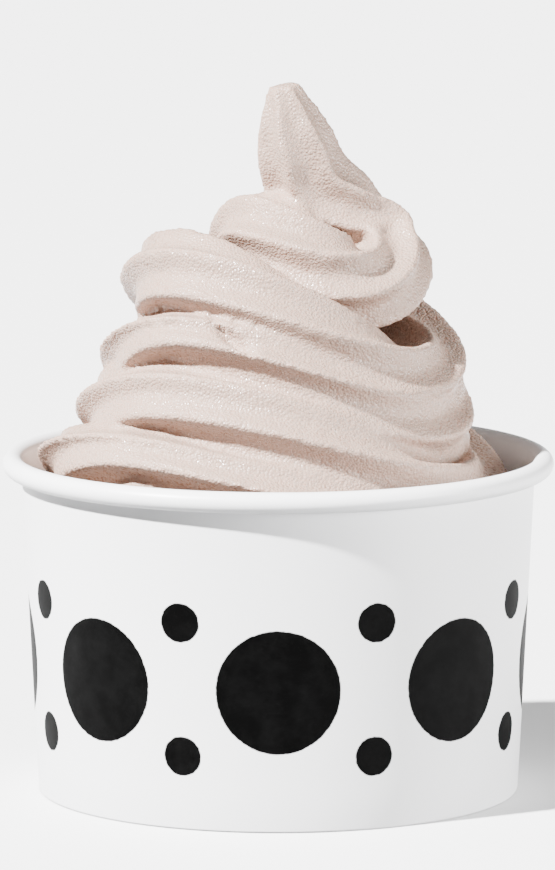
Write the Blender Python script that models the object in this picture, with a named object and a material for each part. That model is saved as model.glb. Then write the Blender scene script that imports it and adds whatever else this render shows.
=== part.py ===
"""A tall soft-serve swirl in a round paper cup.

The model stands on Z = 0 with the cup's axis on Z, in metres. The cup is a tapered side wall with a
rolled rim and a folded foot, and a recessed floor disc with a skirt. The frozen yoghurt fills the cup
and rises above it as one rope, piped through a star nozzle into a leaning coil that narrows to a peak.
"""
import math

import bmesh
import bpy
import numpy as np
from mathutils import Vector

MM = 0.001

# the cup, in millimetres
RIM_OUTER_RADIUS = 56.0
RIM_BEAD_RADIUS = 2.13
CUP_HEIGHT = 69.1
WALL_TOP_RADIUS = 52.3
FOOT_RADIUS = 48.9
WALL_THICKNESS = 0.6
FOOT_FOLD_HEIGHT = 6.0
FOOT_FOLD_THICKNESS = 1.3
FLOOR_HEIGHT = 6.6
FLOOR_THICKNESS = 0.6
SKIRT_CLEARANCE = 0.8
GAP = 0.3
CUP_SEGMENTS = 72
BEAD_STEPS = 12

# the yoghurt inside the cup, up to where the coil rests on it
FILL_TOP = 50.0
FILL_SIDE_GAP = 0.4
FILL_SEGMENTS = 72

# the heart of the swirl: turn angle of each ring, how far it is drawn in and how far it is lowered
MOUND_RINGS = (
    (180.0, 2.0, 2.0),
    (540.0, 2.0, 2.0),
    (900.0, 2.0, 2.0),
    (1260.0, 8.0, 4.0),
    (1620.0, 4.0, 8.0),
)
MOUND_SUNK = 10.0
MOUND_SEGMENTS = 24

# the piped rope
NOZZLE_RIDGES = 6
CHANNEL_DEPTH = 0.30
CHANNEL_POWER = 1.8
RIDGE_ROUNDING = 0.08
POINTS_PER_RIDGE = 4
EVENING = 18.0
CHORD = 15.0
BEND_LIMIT = 0.9
STEP_DEGREES = 10.0
# where a turn is pressed down by the next one: turn angle, and the share of its upper half that is lost
PRESSED = ((225, 0.6), (585, 0.2), (945, 0.6))

# The rope's path, set by eye from the photo, from the cup upwards: left is 180 degrees, front 270, right
# 0 and back 90, and each turn has its own height and sag. Turn angle in degrees, then the coil centre's
# offsets to the right and to the back, the coil's radius and the rope's height, all in millimetres, the
# main ridge's angle from straight outwards in degrees, and the rope's radius.
STATIONS = (
    (-180, 0.0, 0.0, 38.0, 52.0, -54, 10.0),
    (-135, 0.0, 0.0, 37.5, 60.0, -15, 10.0),
    (-112, 0.0, 0.0, 37.0, 62.5, -4, 10.0),
    (-90, 0.0, 0.0, 37.0, 60.0, 8, 10.0),
    (-45, 0.0, 0.0, 37.5, 49.0, 43, 10.0),
    (0, 0.0, 0.0, 38.0, 46.0, 85, 10.0),
    (90, 0.0, 0.0, 38.0, 50.0, 195, 10.5),
    (180, 0.0, 0.0, 38.9, 68.5, 306, 10.5),
    (225, 0.3, 0.0, 38.5, 75.5, 345, 10.5),
    (270, 0.6, 0.0, 38.3, 67.0, 368, 10.5),
    (315, 1.0, 0.0, 38.0, 57.0, 403, 10.5),
    (360, 1.5, 0.0, 38.0, 54.0, 445, 10.5),
    (450, 2.5, 0.0, 36.0, 66.0, 555, 10.5),
    (540, 3.0, 0.0, 34.1, 77.6, 666, 10.4),
    (585, 3.0, 0.0, 34.0, 84.3, 705, 10.4),
    (630, 3.0, 0.0, 34.0, 77.6, 728, 10.4),
    (675, 3.0, 0.0, 34.2, 63.3, 763, 10.4),
    (720, 3.0, 0.0, 34.4, 60.2, 805, 10.4),
    (810, 2.6, 0.0, 31.0, 76.0, 915, 10.3),
    (900, 2.3, 0.0, 28.8, 89.0, 1026, 10.1),
    (945, 2.3, 0.0, 28.7, 98.3, 1065, 10.1),
    (990, 2.3, 0.0, 28.5, 91.5, 1088, 10.1),
    (1035, 2.3, 0.0, 28.4, 77.8, 1123, 10.1),
    (1080, 2.3, 0.0, 28.3, 74.4, 1165, 10.1),
    (1170, 2.6, 0.0, 26.5, 90.0, 1275, 10.0),
    (1260, 3.0, 0.0, 25.4, 104.4, 1386, 9.8),
    (1305, 3.0, 0.0, 25.3, 106.5, 1432, 9.8),
    (1350, 3.0, 0.0, 25.0, 97.0, 1460, 10.0),
    (1395, 3.0, 0.0, 26.0, 85.5, 1490, 10.0),
    (1440, 3.0, 0.0, 26.8, 85.5, 1528, 9.5),
    (1530, 6.0, 0.0, 20.0, 101.0, 1650, 9.8),
    (1620, 8.5, 0.0, 12.5, 113.5, 1790, 9.7),
    (1665, 9.0, 0.0, 12.5, 112.5, 1820, 9.7),
    (1710, 9.0, 0.0, 12.5, 106.7, 1836, 9.8),
    (1755, 9.0, 0.0, 12.5, 104.0, 1867, 9.8),
    (1800, 9.4, 0.0, 12.4, 107.3, 1909, 9.8),
    (1845, 14.7, -0.7, 6.4, 112.3, 1955, 9.6),
    (1890, 13.6, 4.5, 0.0, 117.0, 1992, 9.4),
    (1935, 8.1, 4.0, 0.0, 121.5, 2012, 9.3),
    (1980, 5.0, 3.0, 0.0, 126.5, 2026, 9.1),
    (2025, 3.6, 2.0, 0.0, 131.5, 2036, 8.5),
    (2070, 2.5, 1.2, 0.0, 136.2, 2038, 6.9),
    (2115, 1.7, 0.6, 0.0, 140.5, 2040, 4.9),
    (2160, 1.1, 0.3, 0.0, 144.3, 2042, 3.1),
)


def remove_everything():
    for obj in list(bpy.data.objects):
        bpy.data.objects.remove(obj, do_unlink=True)


def make_material(name, colour, roughness):
    material = bpy.data.materials.new(name)
    material.use_nodes = True
    shader = material.node_tree.nodes["Principled BSDF"]
    shader.inputs["Base Color"].default_value = (*colour, 1.0)
    shader.inputs["Roughness"].default_value = roughness
    shader.inputs["Metallic"].default_value = 0.0
    return material


def make_object(name, mesh_maker, material=None):
    """Make an object whose mesh is what mesh_maker draws into an empty bmesh."""
    bm = bmesh.new()
    mesh_maker(bm)
    mesh = bpy.data.meshes.new(name)
    bm.to_mesh(mesh)
    bm.free()
    obj = bpy.data.objects.new(name, mesh)
    bpy.context.scene.collection.objects.link(obj)
    if material:
        mesh.materials.append(material)
    return obj


def spin_profile(bm, profile, segments):
    """Turn a closed outline of (radius, height) in millimetres about Z. Points on the axis are poles."""
    verts = [bm.verts.new((radius * MM, 0.0, height * MM)) for radius, height in profile]
    edges = [bm.edges.new(pair) for pair in zip(verts, verts[1:])]
    if profile[0][0] > 0.0:
        edges.append(bm.edges.new((verts[-1], verts[0])))
    bmesh.ops.spin(bm, geom=verts + edges, cent=(0, 0, 0), axis=(0, 0, 1), angle=math.tau,
                   steps=segments, use_merge=True)
    bmesh.ops.remove_doubles(bm, verts=bm.verts, dist=0.01 * MM)
    bmesh.ops.recalc_face_normals(bm, faces=bm.faces)


def wall_radius(height):
    """Outer radius of the tapered side wall at a height."""
    return FOOT_RADIUS + (WALL_TOP_RADIUS - FOOT_RADIUS) * height / CUP_HEIGHT


def inner_radius(height):
    return wall_radius(height) - WALL_THICKNESS


def wall_outline():
    """The side wall in section: folded foot, thin wall, and the bead rolled outwards at the top."""
    bead_centre = RIM_OUTER_RADIUS - RIM_BEAD_RADIUS
    bead_height = CUP_HEIGHT - RIM_BEAD_RADIUS
    fold_inner = FOOT_RADIUS - FOOT_FOLD_THICKNESS
    under_bead = bead_height - RIM_BEAD_RADIUS * 0.8
    outline = [
        (fold_inner, 0.0),
        (FOOT_RADIUS, 0.0),
        (wall_radius(under_bead), under_bead),
    ]
    start = math.atan2(under_bead - bead_height, wall_radius(under_bead) - bead_centre)
    end = math.pi - 0.35
    sweep = end - start if end > start else end - start + math.tau
    for i in range(1, BEAD_STEPS + 1):
        angle = start + sweep * i / BEAD_STEPS
        outline.append((bead_centre + RIM_BEAD_RADIUS * math.cos(angle),
                        bead_height + RIM_BEAD_RADIUS * math.sin(angle)))
    fold_top = FOOT_FOLD_HEIGHT - WALL_THICKNESS
    outline += [
        (inner_radius(under_bead), under_bead),
        (inner_radius(FOOT_FOLD_HEIGHT), FOOT_FOLD_HEIGHT),
        (fold_inner + fold_top * (WALL_TOP_RADIUS - FOOT_RADIUS) / CUP_HEIGHT, fold_top),
    ]
    return outline


def floor_outline():
    """The recessed floor in section: a disc with a rounded edge and a skirt inside the foot's fold."""
    skirt_radius = FOOT_RADIUS - FOOT_FOLD_THICKNESS - GAP
    top = FLOOR_HEIGHT + FLOOR_THICKNESS
    return [
        (0.0, FLOOR_HEIGHT),
        (skirt_radius - FLOOR_THICKNESS, FLOOR_HEIGHT),
        (skirt_radius - FLOOR_THICKNESS, SKIRT_CLEARANCE),
        (skirt_radius, SKIRT_CLEARANCE),
        (skirt_radius, top - FLOOR_THICKNESS),
        (skirt_radius - FLOOR_THICKNESS, top),
        (0.0, top),
    ]


def fill_outline():
    """The yoghurt that fills the cup in section: its sides stay a hair off the wall and the floor."""
    bottom = FLOOR_HEIGHT + FLOOR_THICKNESS + FILL_SIDE_GAP
    low = FOOT_RADIUS - FOOT_FOLD_THICKNESS - GAP
    return [
        (0.0, bottom),
        (low, bottom),
        (inner_radius(FILL_TOP) - FILL_SIDE_GAP, FILL_TOP),
        (0.0, FILL_TOP),
    ]


def hermite(x, knots, values):
    """A smooth curve through hand-placed values: cubic pieces with averaged slopes."""
    slopes = np.gradient(values, knots)
    i = int(np.clip(np.searchsorted(knots, x, side="right") - 1, 0, len(knots) - 2))
    step = knots[i + 1] - knots[i]
    t = (x - knots[i]) / step
    start, end = values[i], values[i + 1]
    value = ((2 * t**3 - 3 * t**2 + 1) * start + (t**3 - 2 * t**2 + t) * step * slopes[i]
             + (-2 * t**3 + 3 * t**2) * end + (t**3 - t**2) * step * slopes[i + 1])
    return float(value)


TABLE = np.array(STATIONS, dtype=float)


def cubic_value(angle, column):
    angle = min(max(angle, TABLE[0, 0]), TABLE[-1, 0])
    return hermite(angle, TABLE[:, 0], TABLE[:, column])


def station_value(angle, column):
    """The curve's value, evened out over its neighbourhood, so that the rope bends without kinks."""
    near = cubic_value(angle - EVENING, column) + cubic_value(angle + EVENING, column)
    return (2.0 * cubic_value(angle, column) + near) / 4.0


def rope_centre(angle):
    """The rope's centre in millimetres at a turn angle in degrees."""
    right, back, radius, height = (station_value(angle, column) for column in (1, 2, 3, 4))
    turn = math.radians(angle)
    return Vector((right + radius * math.cos(turn), back + radius * math.sin(turn), height))


def ridge_profile(angle):
    """Radius factor round the star: 1 on a ridge, falling to a smooth, hollow channel."""
    spacing = 360.0 / NOZZLE_RIDGES
    away = abs((angle / spacing + 0.5) % 1.0 - 0.5) * 2.0
    rounded = math.hypot(away, RIDGE_ROUNDING) - RIDGE_ROUNDING
    rounded = rounded / (math.hypot(1.0, RIDGE_ROUNDING) - RIDGE_ROUNDING)
    return 1.0 - CHANNEL_DEPTH * (1.0 - (1.0 - rounded) ** CHANNEL_POWER)


def pressed(angle):
    """How much of the rope's upper half is left where the turn above rests on it."""
    left = 1.0
    for middle, amount in PRESSED:
        if abs(angle - middle) < 90.0:
            left -= amount * math.cos(math.radians(angle - middle))
    return left


def rope_direction(angle):
    """The path's direction, taken over a chord long enough to pass over small kinks."""
    return (rope_centre(angle + CHORD) - rope_centre(angle - CHORD)).normalized()


def rope_bend(angle):
    """The path's curvature as a vector towards the bend's centre, per millimetre."""
    length = (rope_centre(angle + CHORD) - rope_centre(angle - CHORD)).length
    return (rope_direction(angle + CHORD) - rope_direction(angle - CHORD)) / length


def rope_section(angle):
    """The star-shaped section of the rope at a turn angle, as points in metres."""
    centre = rope_centre(angle)
    along = rope_direction(angle)
    bend = rope_bend(angle)
    outwards = Vector((along.y, -along.x, 0.0)).normalized()
    upwards = outwards.cross(along)
    ridge = station_value(angle, 5)
    radius = station_value(angle, 6)
    count = NOZZLE_RIDGES * POINTS_PER_RIDGE
    points = []
    for i in range(count):
        around = 360.0 * i / count
        lean = math.radians(around + ridge)
        up = math.sin(lean)
        if up > 0.0:
            up *= pressed(angle)
        reach = radius * ridge_profile(around) * (math.cos(lean) * outwards + up * upwards)
        folded = reach.dot(bend) - BEND_LIMIT
        if folded > 0.0:
            reach -= folded / bend.length_squared * bend
        points.append((centre + reach) * MM)
    return points


def extrude_ring(bm, ring, points):
    """Extrude a closed ring of vertices and move the new ring onto points, kept in order."""
    edges = [bm.edges.get((a, b)) for a, b in zip(ring, ring[1:] + ring[:1])]
    made = bmesh.ops.extrude_edge_only(bm, edges=edges)["geom"]
    fresh = {item for item in made if isinstance(item, bmesh.types.BMVert)}
    after = []
    for vert, point in zip(ring, points):
        twin = next(edge.other_vert(vert) for edge in vert.link_edges if edge.other_vert(vert) in fresh)
        twin.co = point
        after.append(twin)
    return after


def loft(bm, sections):
    """A closed solid through sections, each a list of the same number of points."""
    ring = [bm.verts.new(point) for point in sections[0]]
    for a, b in zip(ring, ring[1:] + ring[:1]):
        bm.edges.new((a, b))
    bm.faces.new(ring)
    for points in sections[1:]:
        ring = extrude_ring(bm, ring, points)
    bm.faces.new(ring)
    bmesh.ops.recalc_face_normals(bm, faces=bm.faces)


def rope_piece(start, end):
    """Return a mesh maker for the stretch of rope between two turn angles."""
    steps = max(1, round((end - start) / STEP_DEGREES))
    angles = [start + (end - start) * i / steps for i in range(steps + 1)]

    def draw(bm):
        loft(bm, [rope_section(angle) for angle in angles])
    return draw


def mound_ring(angle, inset, drop):
    """A ring inside the coil: the turn that starts at an angle on the left, drawn in and lowered."""
    left = rope_centre(angle)
    right = rope_centre(angle + 180.0)
    coil = (right.x - left.x) / 2.0
    radius = coil - inset
    lean = (left.z - right.z) / 2.0 * radius / coil
    middle = (left + right) / 2.0
    points = []
    for i in range(MOUND_SEGMENTS):
        turn = math.tau * i / MOUND_SEGMENTS
        points.append(Vector((middle.x + radius * math.cos(turn), radius * math.sin(turn),
                              middle.z - drop - lean * math.cos(turn))) * MM)
    return points


def draw_mound(bm):
    """The heart of the swirl, closed inside the coil."""
    rings = [mound_ring(*ring) for ring in MOUND_RINGS]
    sunk = (FILL_TOP - MOUND_SUNK) * MM
    loft(bm, [[Vector((point.x, point.y, sunk)) for point in rings[0]]] + rings)


def draw_fill(bm):
    spin_profile(bm, fill_outline(), FILL_SEGMENTS)


def union(target, pieces):
    """Weld a list of objects onto target with one Boolean over a collection, then remove them."""
    collection = bpy.data.collections.new("welded")
    bpy.context.scene.collection.children.link(collection)
    for piece in pieces:
        collection.objects.link(piece)
        bpy.context.scene.collection.objects.unlink(piece)
    modifier = target.modifiers.new("weld", "BOOLEAN")
    modifier.operation = "UNION"
    modifier.operand_type = "COLLECTION"
    modifier.collection = collection
    modifier.solver = "EXACT"
    modifier.use_self = True
    bpy.context.view_layer.objects.active = target
    bpy.ops.object.modifier_apply(modifier=modifier.name)
    for piece in pieces:
        bpy.data.objects.remove(piece, do_unlink=True)
    bpy.data.collections.remove(collection)


def keep_outer_skin(obj):
    """Drop the small hollows that the turns seal between them, so the swirl is solid all through."""
    bm = bmesh.new()
    bm.from_mesh(obj.data)
    waiting = set(bm.faces)
    skins = []
    while waiting:
        skin = {waiting.pop()}
        edge_of_search = list(skin)
        while edge_of_search:
            face = edge_of_search.pop()
            for edge in face.edges:
                for other in edge.link_faces:
                    if other in waiting:
                        waiting.remove(other)
                        skin.add(other)
                        edge_of_search.append(other)
        skins.append(skin)
    outer = max(skins, key=len)
    inner = [face for skin in skins if skin is not outer for face in skin]
    bmesh.ops.delete(bm, geom=inner, context="FACES")
    bm.to_mesh(obj.data)
    bm.free()


def make_swirl(material):
    swirl = make_object("soft_serve", draw_fill, material)
    first, last = TABLE[0, 0], TABLE[-1, 0]
    pieces = [make_object("mound", draw_mound), make_object("rope", rope_piece(first, last))]
    union(swirl, pieces)
    keep_outer_skin(swirl)
    return swirl


remove_everything()
white_board = make_material("white_paperboard", (0.86, 0.86, 0.87), 0.45)
yoghurt = make_material("frozen_yoghurt", (0.75, 0.66, 0.62), 0.6)
cup_wall = make_object("cup_wall", lambda bm: spin_profile(bm, wall_outline(), CUP_SEGMENTS), white_board)
cup_floor = make_object("cup_base", lambda bm: spin_profile(bm, floor_outline(), CUP_SEGMENTS), white_board)
soft_serve = make_swirl(yoghurt)
for item in (cup_wall, cup_floor, soft_serve):
    item.data.shade_smooth()
    item.data.set_sharp_from_angle(angle=math.radians(40.0))
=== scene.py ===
# %% [markdown]
# # Soft serve in a paper cup
# A swirl of frozen yoghurt stands in a round white paper cup. Three things give it its look: one thick
# rope with a star-shaped section, wound into a leaning coil, an icy, matt surface that glistens in
# specks, and smooth coated board with a rolled rim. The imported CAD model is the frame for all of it: it
# gives the rim's size, the cup's height and the place of the yoghurt's bottom.

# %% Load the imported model
import math

import bmesh
import bpy
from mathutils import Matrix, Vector, noise


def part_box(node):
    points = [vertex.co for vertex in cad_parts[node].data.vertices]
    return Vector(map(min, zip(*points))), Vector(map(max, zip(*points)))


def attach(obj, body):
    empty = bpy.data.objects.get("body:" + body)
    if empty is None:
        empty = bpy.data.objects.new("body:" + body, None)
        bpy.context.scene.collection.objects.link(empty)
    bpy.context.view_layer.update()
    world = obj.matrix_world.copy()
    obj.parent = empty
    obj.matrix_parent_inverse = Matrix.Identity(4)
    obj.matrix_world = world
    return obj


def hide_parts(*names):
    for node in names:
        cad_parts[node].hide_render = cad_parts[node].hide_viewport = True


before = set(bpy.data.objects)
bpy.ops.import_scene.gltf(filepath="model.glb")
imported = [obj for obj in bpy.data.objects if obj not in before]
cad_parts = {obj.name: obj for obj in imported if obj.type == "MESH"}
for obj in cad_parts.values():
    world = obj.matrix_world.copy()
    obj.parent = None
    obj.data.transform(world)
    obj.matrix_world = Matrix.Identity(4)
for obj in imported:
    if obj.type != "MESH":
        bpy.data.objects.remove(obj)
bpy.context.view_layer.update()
MM = 0.001

# %% [markdown]
# ## The camera
# The photo was taken from far away and a little above, which is why the rim is a thin ellipse and the
# cup's sides hardly converge. A long lens at 1.5 m gives the same view. It is set first, because every
# later choice is judged through it.

# %% Place the camera
CAMERA_DISTANCE = 1500 * MM
CAMERA_ELEVATION = math.radians(8.92)
AIM_RIGHT = -0.16 * MM
AIM_HEIGHT = 72.5 * MM
ORBIT_HEIGHT = 60 * MM
LENS = 305.3
SENSOR = 36.0

camera = bpy.data.objects.new("camera", bpy.data.cameras.new("camera"))
bpy.context.scene.collection.objects.link(camera)
camera.data.sensor_fit = "VERTICAL"
camera.data.sensor_height = SENSOR
camera.data.lens = LENS
camera.location = (0.0, -CAMERA_DISTANCE * math.cos(CAMERA_ELEVATION),
                   ORBIT_HEIGHT + CAMERA_DISTANCE * math.sin(CAMERA_ELEVATION))
aim = Vector((AIM_RIGHT, 0.0, AIM_HEIGHT))
camera.rotation_euler = (aim - camera.location).to_track_quat("-Z", "Y").to_euler()
bpy.context.scene.camera = camera
print("camera at", [round(value, 3) for value in camera.location])

# %% [markdown]
# ## Helpers for materials
# Colours are written as sRGB hex values, and Blender's shaders want linear light, so one function turns
# the one into the other. Another adds a node, sets it and links it, which keeps each material a short
# list of steps. Patterns read Object coordinates, so they stay on the piece from every side.

# %% Colours and nodes
def linear(hex_colour):
    """The linear colour of an sRGB hex value such as 'f2e9e4'."""
    channels = [int(hex_colour[i:i + 2], 16) / 255 for i in (0, 2, 4)]
    return [c / 12.92 if c <= 0.04045 else ((c + 0.055) / 1.055) ** 2.4 for c in channels] + [1.0]


def add_node(material, kind, settings=None, **inputs):
    """Add a node: settings are its properties, inputs are values or sockets to link, by input name.

    An input named by its number has an underscore before it, as in _1.
    """
    node = material.node_tree.nodes.new(kind)
    for name, value in (settings or {}).items():
        setattr(node, name, value)
    for name, value in inputs.items():
        socket = node.inputs[int(name[1:])] if name[0] == "_" else node.inputs[name.replace("_", " ")]
        if isinstance(value, bpy.types.NodeSocket):
            material.node_tree.links.new(value, socket)
        else:
            socket.default_value = value
    return node


def new_material(name):
    """A new node material and its shader, ready for a finish."""
    material = bpy.data.materials.new(name)
    material.use_nodes = True
    return material, material.node_tree.nodes["Principled BSDF"]


print("mid grey 808080 is", round(linear("808080")[0], 3), "in linear light")

# %% [markdown]
# ## Helpers for pieces
# A cup and the yoghurt that fills it are round, so both can be spun from an outline of a few points, with
# the rolled and folded edges as arcs. A bmesh is the place for that: its operators finish the mesh before
# it becomes an object, and the object then stays at the origin, unturned, with its place in its mesh.

# %% Pieces, spun outlines and arcs
SPIN_WELD = 0.005 * MM


def piece_from(name, draw, material):
    """A new piece: draw() fills an empty bmesh, and the object stays at the origin."""
    bm = bmesh.new()
    draw(bm)
    mesh = bpy.data.meshes.new(name)
    bm.to_mesh(mesh)
    bm.free()
    piece = bpy.data.objects.new(name, mesh)
    bpy.context.scene.collection.objects.link(piece)
    mesh.materials.append(material)
    return piece


def spin_outline(bm, outline, segments):
    """Turn an outline of (radius, height) in millimetres all the way round Z."""
    verts = [bm.verts.new((radius * MM, 0.0, height * MM)) for radius, height in outline]
    edges = [bm.edges.new(pair) for pair in zip(verts, verts[1:])]
    if outline[0][0] > 0.0:
        edges.append(bm.edges.new((verts[-1], verts[0])))
    bmesh.ops.spin(bm, geom=verts + edges, cent=(0, 0, 0), axis=(0, 0, 1), angle=math.tau,
                   steps=segments, use_merge=True)
    bmesh.ops.remove_doubles(bm, verts=bm.verts, dist=SPIN_WELD)
    bmesh.ops.recalc_face_normals(bm, faces=bm.faces)


def arc(centre, radius, start, end, steps):
    """Points on an arc of a section, angles in degrees, in millimetres."""
    angles = [math.radians(start + (end - start) * i / steps) for i in range(steps + 1)]
    return [(centre[0] + radius * math.cos(a), centre[1] + radius * math.sin(a)) for a in angles]


print("a quarter arc of 1 mm runs from", arc((0.0, 0.0), 1.0, 0, 90, 4)[0], "in 4 steps")

# %% [markdown]
# ## The cup's shell
# A paper cup's wall is one sheet of coated board, rolled into a cone, lapped and glued down one side.
# Its top is curled outwards into a bead, and its foot is folded in over the floor's skirt. A cone with a
# thickness and a ring on top would leave a seam where they meet, so one outline is spun instead: up the
# outside, round the bead and down the inside to the doubled board at the foot.

# %% Sizes of the board
# Lengths are in millimetres. The rim's radius and the cup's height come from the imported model.
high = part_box("cup_wall")[1]
cup_height = high.z / MM
rim_radius = high.x / MM
WALL_SEGMENTS = 180
BEAD_RADIUS = 2.13
WALL_TOP = 52.3
FOOT_RADIUS = 48.9
BOARD = 0.6
board_slope = (WALL_TOP - FOOT_RADIUS) / cup_height


def board_radius(height):
    """The radius of the wall's outside at a height."""
    return FOOT_RADIUS + board_slope * height


print("wall:", round(cup_height, 1), "mm high, leaning out", round(math.degrees(math.atan(board_slope)), 1),
      "degrees, rim", round(2 * rim_radius, 1), "mm across")

# %% The outline of the shell
# The bead is an arc that starts under the rim, at the wall's outside, runs out and over the top, and
# ends at the wall's inside.
BEAD_START = -125.0
BEAD_END = 160
BEAD_STEPS = 28
# how far below the bead's middle the wall's top lies, as a share of the bead's radius
BEAD_SEAT = 0.82
FOLD_HEIGHT = 6.0
FOLD_BOARD = 1.3
FOLD_TAPER = 0.2
FOOT_CHAMFER = 0.35
FOOT_EDGE = 0.5
FOOT_STEPS = 4
OUTSIDE_HEIGHTS = (8.0, 24.0, 40.0, 56.0)
INSIDE_HEIGHTS = (48.0, 24.0)


def draw_shell(bm):
    """The foot, the outside, the bead, the inside and the doubled board, as one spun outline."""
    bead = (rim_radius - BEAD_RADIUS, cup_height - BEAD_RADIUS)
    top_of_wall = bead[1] - BEAD_RADIUS * BEAD_SEAT
    inner_foot = FOOT_RADIUS - FOLD_BOARD
    outline = [(inner_foot, FOOT_CHAMFER), (inner_foot + FOOT_CHAMFER, 0.0)]
    outline += arc((FOOT_RADIUS - FOOT_EDGE, FOOT_EDGE), FOOT_EDGE, -90, 0, FOOT_STEPS)
    outline += [(board_radius(h), h) for h in OUTSIDE_HEIGHTS]
    outline += [(board_radius(top_of_wall), top_of_wall)]
    outline += arc(bead, BEAD_RADIUS, BEAD_START, BEAD_END, BEAD_STEPS)
    outline += [(board_radius(h) - BOARD, h) for h in (top_of_wall, *INSIDE_HEIGHTS, FOLD_HEIGHT)]
    outline += [(inner_foot + FOLD_TAPER, FOLD_HEIGHT - BOARD)]
    spin_outline(bm, outline, WALL_SEGMENTS)


print("the bead is", 2 * BEAD_RADIUS, "mm thick, and the board at the foot", FOLD_BOARD, "mm")

# %% [markdown]
# ## The board's finish
# Cupstock is white paperboard with a thin plastic coating. The coating closes the fibres, so the eye sees
# a clean, very slightly cool white with a soft sheen and no grain. Plain values on the shader give that.

# %% Coated board
BOARD_WHITE = "f4f4f5"
BOARD_ROUGHNESS = 0.38
COATING_IOR = 1.5

board, shader = new_material("coated_white_cupstock")
shader.inputs["Base Color"].default_value = linear(BOARD_WHITE)
shader.inputs["Roughness"].default_value = BOARD_ROUGHNESS
shader.inputs["IOR"].default_value = COATING_IOR
print("board:", board.name, "roughness", BOARD_ROUGHNESS)

# %% [markdown]
# ## The print
# The band of dots is printed in black ink on the flat sheet before it is rolled, so every dot keeps its
# size along the wall. An image could carry it, but a pattern worked out in the material stays sharp at
# any distance. It measures along the wall and up it in millimetres, and works out how far inside the
# nearest dot a point lies. Large dots sit in one row, with small ones between them.

# %% Measure along and up the wall
DOTS_ROUND = 8
LARGE_DOT = 12.5
LARGE_HEIGHT = 28.5
SMALL_DOT = 4.0
SMALL_RISE = 13.5
printed, shader = new_material("cupstock_printed_with_black_dots")
shader.inputs["IOR"].default_value = COATING_IOR
coordinates = add_node(printed, "ShaderNodeTexCoord").outputs["Object"]
place = add_node(printed, "ShaderNodeSeparateXYZ", Vector=coordinates).outputs


def calculate(operation, first, second=0.0):
    """One step of arithmetic in the print's material."""
    return add_node(printed, "ShaderNodeMath", {"operation": operation}, _0=first, _1=second).outputs[0]


def distance(first, second):
    """The length of the diagonal of two lengths at right angles."""
    squares = [calculate("MULTIPLY", side, side) for side in (first, second)]
    return calculate("SQRT", calculate("ADD", *squares))


turn = calculate("ARCTAN2", place["X"], calculate("MULTIPLY", place["Y"], -1.0))
repeats = calculate("MULTIPLY", turn, DOTS_ROUND / math.tau)
pitch = math.tau * board_radius(LARGE_HEIGHT) / DOTS_ROUND
print("dots:", DOTS_ROUND, "of each row round the cup,", round(pitch, 1), "mm from middle to middle")

# %% How far inside a dot
def along_wall(shift):
    """Millimetres along the wall from the middle of the nearest dot, in a row shifted by a share."""
    share = calculate("FRACT", calculate("ADD", repeats, shift))
    return calculate("MULTIPLY", calculate("SUBTRACT", share, 0.5), pitch)


height = calculate("MULTIPLY", place["Z"], 1.0 / MM)
rise = calculate("SUBTRACT", height, LARGE_HEIGHT)
small_rise = calculate("SUBTRACT", calculate("ABSOLUTE", rise), SMALL_RISE)
in_large = calculate("SUBTRACT", LARGE_DOT, distance(along_wall(0.5), rise))
in_small = calculate("SUBTRACT", SMALL_DOT, distance(along_wall(0.0), small_rise))
inside = calculate("MAXIMUM", in_large, in_small)
print("the band runs from", LARGE_HEIGHT - SMALL_RISE - SMALL_DOT, "to",
      LARGE_HEIGHT + SMALL_RISE + SMALL_DOT, "mm above the table")

# %% [markdown]
# ## Ink on the board
# The ink's edge wavers a little with the board's fibres, so a noise is added to the distance before it is
# cut off. The ink itself is a deep, nearly matt black that lies a little unevenly: a second noise moves
# it between two blacks. The pattern doesn't tell the wall's outside from its inside, so the dots are on
# the inside too, where the yoghurt hides them.

# %% Where the ink lies
EDGE = 0.12
WAVER = 0.35
FIBRES_PER_METRE = 900.0
FIBRE_DETAIL = 2.0
fibres = add_node(printed, "ShaderNodeTexNoise", Vector=coordinates, Scale=FIBRES_PER_METRE,
                  Detail=FIBRE_DETAIL)
wavering = calculate("MULTIPLY", calculate("SUBTRACT", fibres.outputs["Fac"], 0.5), WAVER)
inside = calculate("ADD", inside, wavering)
inked = add_node(printed, "ShaderNodeMapRange", Value=inside, _1=-EDGE, _2=EDGE).outputs["Result"]
print("the ink's edge wavers by up to", WAVER / 2, "mm, every", round(1.0 / FIBRES_PER_METRE / MM, 1), "mm")

# %% What the ink looks like
PATCHES_PER_METRE = 160.0
PATCH_DETAIL = 6.0
PATCH_ROUGHNESS = 0.75
INK_TONES = ((0.42, "010101"), (0.72, "090909"))
INK_ROUGHNESS = 0.5
BOARD_SPECULAR = 0.5
INK_SPECULAR = 0.02
patches = add_node(printed, "ShaderNodeTexNoise", Vector=coordinates, Scale=PATCHES_PER_METRE,
                   Detail=PATCH_DETAIL, Roughness=PATCH_ROUGHNESS)
ink_tone = add_node(printed, "ShaderNodeValToRGB", Fac=patches.outputs["Fac"])
for element, (place_on_ramp, tone) in zip(ink_tone.color_ramp.elements, INK_TONES):
    element.position = place_on_ramp
    element.color = linear(tone)
colour = add_node(printed, "ShaderNodeMix", {"data_type": "RGBA"}, Factor=inked, _6=linear(BOARD_WHITE),
                  _7=ink_tone.outputs["Color"]).outputs[2]
sheen = add_node(printed, "ShaderNodeMapRange", Value=inked, _3=BOARD_ROUGHNESS, _4=INK_ROUGHNESS)
gloss = add_node(printed, "ShaderNodeMapRange", Value=inked, _3=BOARD_SPECULAR, _4=INK_SPECULAR)
printed.node_tree.links.new(colour, shader.inputs["Base Color"])
printed.node_tree.links.new(sheen.outputs["Result"], shader.inputs["Roughness"])
printed.node_tree.links.new(gloss.outputs["Result"], shader.inputs["Specular IOR Level"])
print("the print's material has", len(printed.node_tree.nodes), "nodes")

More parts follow.
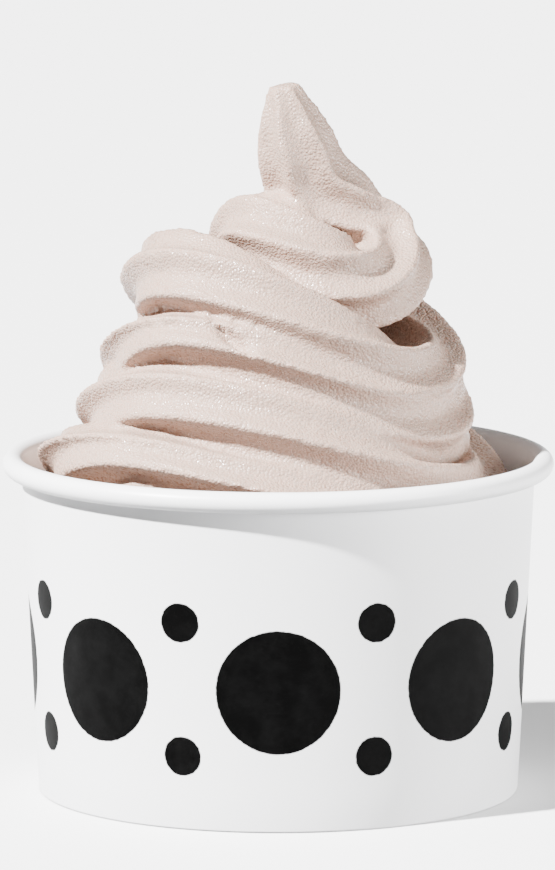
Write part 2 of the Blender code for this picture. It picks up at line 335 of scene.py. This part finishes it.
# %% [markdown]
# ## The wall and the floor of the cup
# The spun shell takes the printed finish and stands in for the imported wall. Smooth shading hides its flat
# faces, and edges over 50 degrees stay sharp, as where the board is cut. The floor is a disc with a skirt
# that shows only from below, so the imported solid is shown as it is, in plain board.

# %% The shell
SHARP_ANGLE = math.radians(50)
shell = piece_from("cup_shell", draw_shell, printed)
shell.data.shade_smooth()
shell.data.set_sharp_from_angle(angle=SHARP_ANGLE)
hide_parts("cup_wall")
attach(shell, "root")
print("cup shell:", len(shell.data.polygons), "faces")

# %% The floor of the cup
cup_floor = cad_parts["cup_base"]
cup_floor.data.materials.clear()
cup_floor.data.materials.append(board)
print("cup floor:", len(cup_floor.data.polygons), "faces, in", board.name)

# %% [markdown]
# ## The rope of yoghurt
# A soft-serve machine pushes the yoghurt through a star nozzle, so the rope has ridges with hollow
# channels between them. Held in the hand, the cup turns and leans, and each turn sags at the front right.
# A formula for a coil would be too even, so a table gives the path, with a row for an eighth or a
# quarter of a turn and one more where the lowest turn is highest. The section is then carried along it.

# %% The rope's path
# Turn angle in degrees (left 180, front 270, right 0, back 90), the coil centre's offsets to the right
# and to the back, the coil's radius and the rope's height in millimetres, the main ridge's angle from
# straight outwards in degrees, and the rope's radius in millimetres.
STATIONS = (
    (-180, 0.0, 0.0, 38.0, 52.0, -54, 10.0),
    (-135, 0.0, 0.0, 37.5, 60.0, -15, 10.0),
    (-112, 0.0, 0.0, 37.0, 62.5, -4, 10.0),
    (-90, 0.0, 0.0, 37.0, 60.0, 8, 10.0),
    (-45, 0.0, 0.0, 37.5, 49.0, 43, 10.0),
    (0, 0.0, 0.0, 38.0, 46.0, 85, 10.0),
    (90, 0.0, 0.0, 38.0, 50.0, 195, 10.5),
    (180, 0.0, 0.0, 38.9, 68.5, 306, 10.5),
    (225, 0.3, 0.0, 38.5, 75.5, 345, 10.5),
    (270, 0.6, 0.0, 38.3, 67.0, 368, 10.5),
    (315, 1.0, 0.0, 38.0, 57.0, 403, 10.5),
    (360, 1.5, 0.0, 38.0, 54.0, 445, 10.5),
    (450, 2.5, 0.0, 36.0, 66.0, 555, 10.5),
    (540, 3.0, 0.0, 34.1, 77.6, 666, 10.4),
    (585, 3.0, 0.0, 34.0, 84.3, 705, 10.4),
    (630, 3.0, 0.0, 34.0, 77.6, 728, 10.4),
    (675, 3.0, 0.0, 34.2, 63.3, 763, 10.4),
    (720, 3.0, 0.0, 34.4, 60.2, 805, 10.4),
    (810, 2.6, 0.0, 31.0, 76.0, 915, 10.3),
    (900, 2.3, 0.0, 28.8, 89.0, 1026, 10.1),
    (945, 2.3, 0.0, 28.7, 98.3, 1065, 10.1),
    (990, 2.3, 0.0, 28.5, 91.5, 1088, 10.1),
    (1035, 2.3, 0.0, 28.4, 77.8, 1123, 10.1),
    (1080, 2.3, 0.0, 28.3, 74.4, 1165, 10.1),
    (1170, 2.6, 0.0, 26.5, 90.0, 1275, 10.0),
    (1260, 3.0, 0.0, 25.4, 104.4, 1386, 9.8),
    (1305, 3.0, 0.0, 25.3, 106.5, 1432, 9.8),
    (1350, 3.0, 0.0, 25.0, 97.0, 1460, 10.0),
    (1395, 3.0, 0.0, 26.0, 85.5, 1490, 10.0),
    (1440, 3.0, 0.0, 26.8, 85.5, 1528, 9.5),
    (1530, 6.0, 0.0, 20.0, 101.0, 1650, 9.8),
    (1620, 8.5, 0.0, 12.5, 113.5, 1790, 9.7),
    (1665, 9.0, 0.0, 12.5, 112.5, 1820, 9.7),
    (1710, 9.0, 0.0, 12.5, 106.7, 1836, 9.8),
    (1755, 9.0, 0.0, 12.5, 104.0, 1867, 9.8),
    (1800, 9.4, 0.0, 12.4, 107.3, 1909, 9.8),
    (1845, 14.7, -0.7, 6.4, 112.3, 1955, 9.6),
    (1890, 13.6, 4.5, 0.0, 117.0, 1992, 9.4),
    (1935, 8.1, 4.0, 0.0, 121.5, 2012, 9.3),
    (1980, 5.0, 3.0, 0.0, 126.5, 2026, 9.1),
    (2025, 3.6, 2.0, 0.0, 131.5, 2036, 8.5),
    (2070, 2.5, 1.2, 0.0, 136.2, 2038, 6.9),
    (2115, 1.7, 0.6, 0.0, 140.5, 2040, 4.9),
    (2160, 1.1, 0.3, 0.0, 144.3, 2042, 3.1),
)
ANGLES = [row[0] for row in STATIONS]
print("the rope makes", (ANGLES[-1] - ANGLES[0]) / 360, "turns, given by", len(STATIONS), "stations")

# %% [markdown]
# ## A smooth way through the stations
# Soft yoghurt bends without kinks. Straight lines between the stations would show as corners, so cubic
# pieces that share their slopes run through them, and each value is evened out with its neighbours.

# %% Values along the path
# How many degrees of turn away the neighbours are.
EVENING = 18.0


def slope_at(i, column):
    """The path's slope at a station, from the station before it to the one after."""
    before, after = max(i - 1, 0), min(i + 1, len(STATIONS) - 1)
    rise = STATIONS[after][column] - STATIONS[before][column]
    return rise / (ANGLES[after] - ANGLES[before])


def cubic_value(angle, column):
    """A curve through the stations' values: cubic pieces that share their slopes."""
    angle = min(max(angle, ANGLES[0]), ANGLES[-1])
    i = max(n for n in range(len(ANGLES) - 1) if n == 0 or ANGLES[n] <= angle)
    step = ANGLES[i + 1] - ANGLES[i]
    t = (angle - ANGLES[i]) / step
    start, end = STATIONS[i][column], STATIONS[i + 1][column]
    return ((2 * t**3 - 3 * t**2 + 1) * start + (t**3 - 2 * t**2 + t) * step * slope_at(i, column)
            + (-2 * t**3 + 3 * t**2) * end + (t**3 - t**2) * step * slope_at(i + 1, column))


def station_value(angle, column):
    """The curve's value, evened out over its neighbourhood, so that the rope bends without kinks."""
    near = cubic_value(angle - EVENING, column) + cubic_value(angle + EVENING, column)
    return (2.0 * cubic_value(angle, column) + near) / 4.0


def rope_centre(angle):
    """The middle of the rope at a turn angle, in millimetres."""
    right, back, radius, height = (station_value(angle, column) for column in (1, 2, 3, 4))
    turn = math.radians(angle)
    return Vector((right + radius * math.cos(turn), back + radius * math.sin(turn), height))


path = [rope_centre(angle) for angle in range(ANGLES[0], ANGLES[-1], 5)]
length = sum((after - before).length for before, after in zip(path, path[1:]))
print("the rope's middle line is about", round(length), "mm long")

# %% [markdown]
# ## The star section
# The nozzle's star leaves six rounded ridges, and the channels between them are hollow and softer. A
# section could be drawn by hand, but a formula for its radius keeps all six alike. On the left, where the
# next turn rests on it, the rope's upper half is pressed down, which leaves the dark gaps between turns.

# %% The star
RIDGES = 6
POINTS_PER_RIDGE = 16
CHANNEL_DEPTH = 0.30
CHANNEL_POWER = 1.8
RIDGE_ROUNDING = 0.08


def star_radius(around):
    """Radius factor round the star: 1 on a ridge, falling to a smooth, hollow channel."""
    spacing = 360.0 / RIDGES
    away = abs((around / spacing + 0.5) % 1.0 - 0.5) * 2.0
    rounded = math.hypot(away, RIDGE_ROUNDING) - RIDGE_ROUNDING
    rounded = rounded / (math.hypot(1.0, RIDGE_ROUNDING) - RIDGE_ROUNDING)
    return 1.0 - CHANNEL_DEPTH * (1.0 - (1.0 - rounded) ** CHANNEL_POWER)


channel_radius = star_radius(180.0 / RIDGES)
print("ridges reach", star_radius(0.0), "and channels", round(channel_radius, 2), "of the radius")

# %% Where the turns press on each other
# Turn angle, and the share of the upper half that is lost there. It fades out over a quarter turn.
PRESSED = ((225, 0.6), (585, 0.2), (945, 0.6))
PRESSED_REACH = 90.0


def pressed(angle):
    """How much of the rope's upper half is left where the turn above rests on it."""
    left = 1.0
    for middle, amount in PRESSED:
        if abs(angle - middle) < PRESSED_REACH:
            left -= amount * math.cos(math.radians(angle - middle))
    return left


print("upper half left where pressed:", [round(pressed(row[0]), 2) for row in PRESSED])

# %% The section on the path
# The chord reaches this many degrees of turn to each side.
CHORD = 15.0


def rope_direction(angle):
    """The path's direction, taken over a chord long enough to pass over small kinks."""
    return (rope_centre(angle + CHORD) - rope_centre(angle - CHORD)).normalized()


def rope_section(angle):
    """The rope's star section at a turn angle, square to its path, in metres."""
    centre, along = rope_centre(angle), rope_direction(angle)
    outwards = Vector((along.y, -along.x, 0.0)).normalized()
    upwards = outwards.cross(along)
    ridge, radius = station_value(angle, 5), station_value(angle, 6)
    count = RIDGES * POINTS_PER_RIDGE
    points = []
    for i in range(count):
        around = 360.0 * i / count
        lean = math.radians(around + ridge)
        up = math.sin(lean)
        if up > 0.0:
            up *= pressed(angle)
        reach = radius * star_radius(around) * (math.cos(lean) * outwards + up * upwards)
        points.append((centre + reach) * MM)
    return points


print("a section has", len(rope_section(ANGLES[0])), "points")

# %% [markdown]
# ## Rolling the rope
# A curve with a bevel object could sweep a star too, but it couldn't press the section down on one side.
# So a flat grid of small faces is rolled up: each row of it is moved onto the section at the next step of
# the path. The seam is then welded, and the two open ends are closed.

# %% The rope
STEP_DEGREES = 3.0
SEAM_WELD = 0.001 * MM


def draw_rope(bm):
    """A sheet of small faces, rolled into the star section all along the path and capped at both ends."""
    first, last = ANGLES[0], ANGLES[-1]
    steps = round((last - first) / STEP_DEGREES)
    across = RIDGES * POINTS_PER_RIDGE
    sheet = bmesh.ops.create_grid(bm, x_segments=across, y_segments=steps, size=1.0)["verts"]
    for step in range(steps + 1):
        section = rope_section(first + (last - first) * step / steps)
        for column in range(across + 1):
            sheet[step * (across + 1) + column].co = section[column % across]
    bmesh.ops.remove_doubles(bm, verts=sheet, dist=SEAM_WELD)
    bmesh.ops.holes_fill(bm, edges=[edge for edge in bm.edges if edge.is_boundary], sides=0)


print("the rope takes", round((ANGLES[-1] - ANGLES[0]) / STEP_DEGREES), "steps")

# %% [markdown]
# ## The heart of the swirl
# The turns of a real swirl sink into each other and leave no hollow behind them. A coil alone would be
# hollow, so a mound fills its middle: rings that follow the coil, drawn in and lowered to stay behind it,
# joined by extruding each ring to the next.

# %% The mound
# The turn angle at the ring's left end, and how far the ring is drawn in and lowered, in millimetres.
MOUND_RINGS = (
    (180.0, 2.0, 2.0),
    (540.0, 2.0, 2.0),
    (900.0, 2.0, 2.0),
    (1260.0, 8.0, 4.0),
    (1620.0, 4.0, 8.0),
)
MOUND_SEGMENTS = 48


def mound_ring(angle, inset, drop):
    """A ring inside the coil: the turn that starts at an angle on the left, drawn in and lowered."""
    left = rope_centre(angle)
    right = rope_centre(angle + 180.0)
    coil = (right.x - left.x) / 2.0
    radius = coil - inset
    lean = (left.z - right.z) / 2.0 * radius / coil
    middle = (left + right) / 2.0
    turns = [math.tau * i / MOUND_SEGMENTS for i in range(MOUND_SEGMENTS)]
    return [Vector((middle.x + radius * math.cos(turn), radius * math.sin(turn),
                    middle.z - drop - lean * math.cos(turn))) * MM for turn in turns]


def extrude_ring(bm, ring, points):
    """Extrude a closed ring of vertices and move the new ring onto points, in the same order."""
    edges = [bm.edges.get(pair) for pair in zip(ring, ring[1:] + ring[:1])]
    made = bmesh.ops.extrude_edge_only(bm, edges=edges)["geom"]
    fresh = {item for item in made if isinstance(item, bmesh.types.BMVert)}
    after = []
    for vert, point in zip(ring, points):
        twin = next(edge.other_vert(vert) for edge in vert.link_edges if edge.other_vert(vert) in fresh)
        twin.co = point
        after.append(twin)
    return after


def loft(bm, sections):
    """A closed solid through sections, each a list of the same number of points."""
    ring = [bm.verts.new(point) for point in sections[0]]
    for pair in zip(ring, ring[1:] + ring[:1]):
        bm.edges.new(pair)
    bm.faces.new(ring)
    for points in sections[1:]:
        ring = extrude_ring(bm, ring, points)
    bm.faces.new(ring)


print("the mound's rings are at", [round(mound_ring(*ring)[0].z / MM) for ring in MOUND_RINGS],
      "mm on their right")

# %% The swirl, still in parts
# The yoghurt's level in the cup, the height where the melted skin begins, and the gap to the board.
FILL_TOP = 50.0
FILL_CUT = 44.0
FILL_GAP = 0.4


def draw_swirl(bm):
    """The top of the fill, the mound and the rope, still overlapping."""
    side = board_radius(FILL_CUT) - BOARD - FILL_GAP
    spin_outline(bm, [(0.0, FILL_CUT), (side, FILL_CUT), (side, FILL_TOP), (0.0, FILL_TOP)], WALL_SEGMENTS)
    rings = [mound_ring(*ring) for ring in MOUND_RINGS]
    loft(bm, [[Vector((point.x, point.y, FILL_CUT * MM)) for point in rings[0]]] + rings)
    draw_rope(bm)
    bmesh.ops.recalc_face_normals(bm, faces=bm.faces)


print("the yoghurt stands", round(cup_height - FILL_TOP, 1), "mm below the rim between rope and wall")

# %% [markdown]
# ## The yoghurt's finish
# Frozen yoghurt is a foam of air and tiny ice crystals in sweet milk, churned as it freezes. Light goes a
# little way in and comes out warmer, which softens the shaded channels. The crystals give the surface a
# fine grain with sparkling specks. Scattering under the surface gives the first, and two bumps with a
# roughness that changes from crystal to crystal give the second.

# %% Yoghurt, and the light in it
YOGHURT_TONE = "a68d7f"
SCATTER_WEIGHT = 0.3
SCATTER_COLOURS = (1.0, 0.55, 0.4)
SCATTER_DEPTH = 0.8 * MM
YOGHURT_IOR = 1.42
yoghurt, shader = new_material("churned_frozen_yoghurt")
shader.inputs["Base Color"].default_value = linear(YOGHURT_TONE)
shader.inputs["Subsurface Weight"].default_value = SCATTER_WEIGHT
shader.inputs["Subsurface Radius"].default_value = SCATTER_COLOURS
shader.inputs["Subsurface Scale"].default_value = SCATTER_DEPTH
shader.inputs["IOR"].default_value = YOGHURT_IOR
coordinates = add_node(yoghurt, "ShaderNodeTexCoord").outputs["Object"]
print("red light goes about", SCATTER_DEPTH / MM, "mm into the yoghurt")

# %% Its grain
# Real ice crystals are finer than a tenth of a millimetre, which the render can't show. They are drawn at
# about half a millimetre, over a churned unevenness of about three.
CRYSTALS_PER_METRE = 1800.0
CHURN_PER_METRE = 330.0
CHURN_DETAIL = 3.0
CHURN_STRENGTH = 0.5
CRYSTAL_STRENGTH = 0.8
BUMP_HEIGHT = 0.3 * MM
churn = add_node(yoghurt, "ShaderNodeTexNoise", Vector=coordinates, Scale=CHURN_PER_METRE,
                 Detail=CHURN_DETAIL)
churned = add_node(yoghurt, "ShaderNodeBump", Height=churn.outputs["Fac"], Strength=CHURN_STRENGTH,
                   Distance=BUMP_HEIGHT)
crystals = add_node(yoghurt, "ShaderNodeTexVoronoi", Vector=coordinates, Scale=CRYSTALS_PER_METRE)
grained = add_node(yoghurt, "ShaderNodeBump", {"invert": True}, Height=crystals.outputs["Distance"],
                   Strength=CRYSTAL_STRENGTH, Distance=BUMP_HEIGHT, Normal=churned.outputs["Normal"])
yoghurt.node_tree.links.new(grained.outputs["Normal"], shader.inputs["Normal"])
print("crystals are drawn", round(1.0 / CRYSTALS_PER_METRE / MM, 2), "mm wide, the churn",
      round(1.0 / CHURN_PER_METRE / MM, 1), "mm")

# %% Its sparkle
# Each crystal has a random value. The crystals above a limit are smooth faces of ice, and they catch the
# key light as specks. The rest are matt.
ICE_FROM = 0.72
ICE_FULLY = 0.76
MATT_ROUGHNESS = 0.46
ICE_ROUGHNESS = 0.2
crystal_kind = add_node(yoghurt, "ShaderNodeSeparateColor", Color=crystals.outputs["Color"])
is_ice = add_node(yoghurt, "ShaderNodeMapRange", Value=crystal_kind.outputs["Red"],
                  _1=ICE_FROM, _2=ICE_FULLY, _3=MATT_ROUGHNESS, _4=ICE_ROUGHNESS)
yoghurt.node_tree.links.new(is_ice.outputs["Result"], shader.inputs["Roughness"])
print("about", round(100 * (1.0 - ICE_FULLY)), "percent of the crystals are smooth ice")

# %% [markdown]
# ## One skin
# Soft yoghurt melts together where its turns touch. A Boolean union would leave knife-sharp creases there,
# so the overlapping rope, mound and fill are remeshed as small voxels instead, which gives one closed skin
# with soft creases.

# %% Melt the parts together
VOXEL = 0.8


def melt(piece):
    """Melt the overlapping forms of a piece into one closed skin."""
    modifier = piece.modifiers.new("one skin", "REMESH")
    modifier.mode = "VOXEL"
    modifier.voxel_size = VOXEL * MM
    modifier.use_smooth_shade = True
    skin = bpy.data.meshes.new_from_object(piece.evaluated_get(bpy.context.evaluated_depsgraph_get()))
    piece.modifiers.clear()
    old = piece.data
    piece.data = skin
    bpy.data.meshes.remove(old)


swirl = piece_from("swirl", draw_swirl, yoghurt)
print("rope, mound and fill:", len(swirl.data.polygons), "faces before melting")
melt(swirl)
print("one skin:", len(swirl.data.polygons), "faces after it")

# %% [markdown]
# ## Lumps and a fold
# Churned yoghurt is never quite smooth, and the front of the third turn has a short fold, as a rope has
# that doubles up a little when it is laid. Bump alone would leave both flat from the side, so they move
# the skin along its own normals: the lumps by a noise at two sizes, the fold by its distance from a short
# line. The flat bottom, hidden in the cup, needs only one face.

# %% Lumps
LUMP_SIZE = 2.6
LUMP_DEPTH = 0.1
# finer lumps are added to these, with this share of their size and of their depth
FINER_SIZE = 0.45
FINER_SHARE = 0.5


def raise_lumps(bm):
    """Push the skin in and out by fine lumps, above the level of the fill."""
    for vert in bm.verts:
        if vert.co.z > FILL_TOP * MM:
            spot = vert.co / (LUMP_SIZE * MM)
            lump = noise.noise(spot) + FINER_SHARE * noise.noise(spot / FINER_SIZE)
            vert.co += vert.normal * lump * LUMP_DEPTH * MM


print("lumps are about", LUMP_SIZE, "and", round(LUMP_SIZE * FINER_SIZE, 1), "mm wide")

# %% The fold in the third turn
# Its start and its run are in millimetres to the right and up, and it is only in front of FOLD_FRONT.
FOLD_START = Vector((-13.4, 99.2))
FOLD_RUN = Vector((8.5, -4.6))
FOLD_FRONT = -25.0
FOLD_WIDTH = 1.1
FOLD_DEPTH = 3.2
# its depth along the line is half a wave, less this share of it at each end
FOLD_END = 0.1


def press_fold(bm):
    """Sink the skin along the fold's line, deepest in the middle of its length and width."""
    for vert in bm.verts:
        if vert.co.y < FOLD_FRONT * MM:
            spot = Vector((vert.co.x, vert.co.z)) / MM
            share = min(max((spot - FOLD_START).dot(FOLD_RUN) / FOLD_RUN.length_squared, 0.0), 1.0)
            away = (spot - FOLD_START - share * FOLD_RUN).length / FOLD_WIDTH
            if away < 1.0:
                along_fold = FOLD_END + (1.0 - 2.0 * FOLD_END) * share
                depth = FOLD_DEPTH * (1.0 - away) * math.sin(math.pi * along_fold)
                vert.co -= vert.normal * depth * MM


print("the fold is", round(FOLD_RUN.length, 1), "mm long and up to", FOLD_DEPTH, "mm deep")

# %% The hidden bottom, and the finished swirl
# The bottom's faces look nearly straight down and lie less than a millimetre above where the skin begins.
BOTTOM_BAND = 1.0
NEARLY_DOWN = -0.999


def simplify_bottom(bm):
    """Make one face of the flat bottom, which no one sees."""
    lowest = (FILL_CUT + BOTTOM_BAND) * MM
    bottom = [face for face in bm.faces
              if face.normal.z < NEARLY_DOWN and face.calc_center_median().z < lowest]
    bmesh.ops.dissolve_faces(bm, faces=bottom)


bm = bmesh.new()
bm.from_mesh(swirl.data)
bm.normal_update()
raise_lumps(bm)
press_fold(bm)
simplify_bottom(bm)
bm.to_mesh(swirl.data)
bm.free()
print("swirl:", sum(len(face.vertices) - 2 for face in swirl.data.polygons), "triangles")

# %% [markdown]
# ## The yoghurt in the cup
# The cup is full below the swirl. The wall hides that part, so it needs no lumps and no voxels: a plain
# spun solid carries the finish down to the floor.

# %% The fill
def draw_fill(bm):
    """The yoghurt that fills the cup below the swirl."""
    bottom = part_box("soft_serve")[0].z / MM
    low_side = FOOT_RADIUS - FOLD_BOARD - FILL_GAP
    side = board_radius(FILL_CUT) - BOARD - FILL_GAP
    spin_outline(bm, [(0.0, bottom), (low_side, bottom), (side, FILL_CUT), (0.0, FILL_CUT)], WALL_SEGMENTS)


fill = piece_from("fill", draw_fill, yoghurt)
for piece in (swirl, fill):
    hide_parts("soft_serve")
    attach(piece, "root")
print("fill:", len(fill.data.polygons), "faces")

# %% [markdown]
# ## Floor and light
# The photo is a cut-out, lit by one hard-edged key from the upper left and in front, which casts the
# rim's shadow on the wall. A sun gives that edge. A white card at the right lifts the far side, and a dim
# white world fills in. The floor casts no diffuse light back up, so the undersides of the turns stay dark.

# %% The floor
FLOOR_SIZE = 6.0
FLOOR_TONE = "efefef"
FLOOR_ROUGHNESS = 0.9
bm = bmesh.new()
bmesh.ops.create_grid(bm, x_segments=1, y_segments=1, size=FLOOR_SIZE)
mesh = bpy.data.meshes.new("floor")
bm.to_mesh(mesh)
bm.free()
floor = bpy.data.objects.new("floor", mesh)
bpy.context.scene.collection.objects.link(floor)
floor_paint, shader = new_material("pale_floor")
shader.inputs["Base Color"].default_value = linear(FLOOR_TONE)
shader.inputs["Roughness"].default_value = FLOOR_ROUGHNESS
mesh.materials.append(floor_paint)
floor.visible_diffuse = False
print("floor:", 2 * FLOOR_SIZE, "m across")

# %% The dim white world
FILL_LIGHT = 0.26
world = bpy.data.worlds.new("studio")
bpy.context.scene.world = world
world.use_nodes = True
world.node_tree.nodes["Background"].inputs["Color"].default_value = (1.0, 1.0, 1.0, 1.0)
world.node_tree.nodes["Background"].inputs["Strength"].default_value = FILL_LIGHT
print("world light:", FILL_LIGHT)

# %% The key light
KEY_LEFT = math.radians(58)
KEY_HEIGHT = math.radians(42)
KEY_SPREAD = math.radians(3)
KEY_LIGHT = 28.0
sun = bpy.data.lights.new("key", "SUN")
sun.energy = KEY_LIGHT
sun.angle = KEY_SPREAD
key = bpy.data.objects.new("key", sun)
bpy.context.scene.collection.objects.link(key)
towards_key = Vector((-math.sin(KEY_LEFT) * math.cos(KEY_HEIGHT), -math.cos(KEY_LEFT) * math.cos(KEY_HEIGHT),
                      math.sin(KEY_HEIGHT)))
key.rotation_euler = (-towards_key).to_track_quat("-Z", "Y").to_euler()
print("the key comes from", [round(value, 2) for value in towards_key])

# %% The white card at the right
REFLECTOR_PLACE = Vector((0.72, -0.34, 0.02))
REFLECTOR_SIZE = 0.6
REFLECTOR_LIGHT = 34.0
card = bpy.data.lights.new("reflector", "AREA")
card.size = REFLECTOR_SIZE
card.energy = REFLECTOR_LIGHT
reflector = bpy.data.objects.new("reflector", card)
bpy.context.scene.collection.objects.link(reflector)
reflector.location = REFLECTOR_PLACE
reflector.rotation_euler = (-REFLECTOR_PLACE).to_track_quat("-Z", "Y").to_euler()
print("the card is", round(REFLECTOR_PLACE.length, 2), "m away")
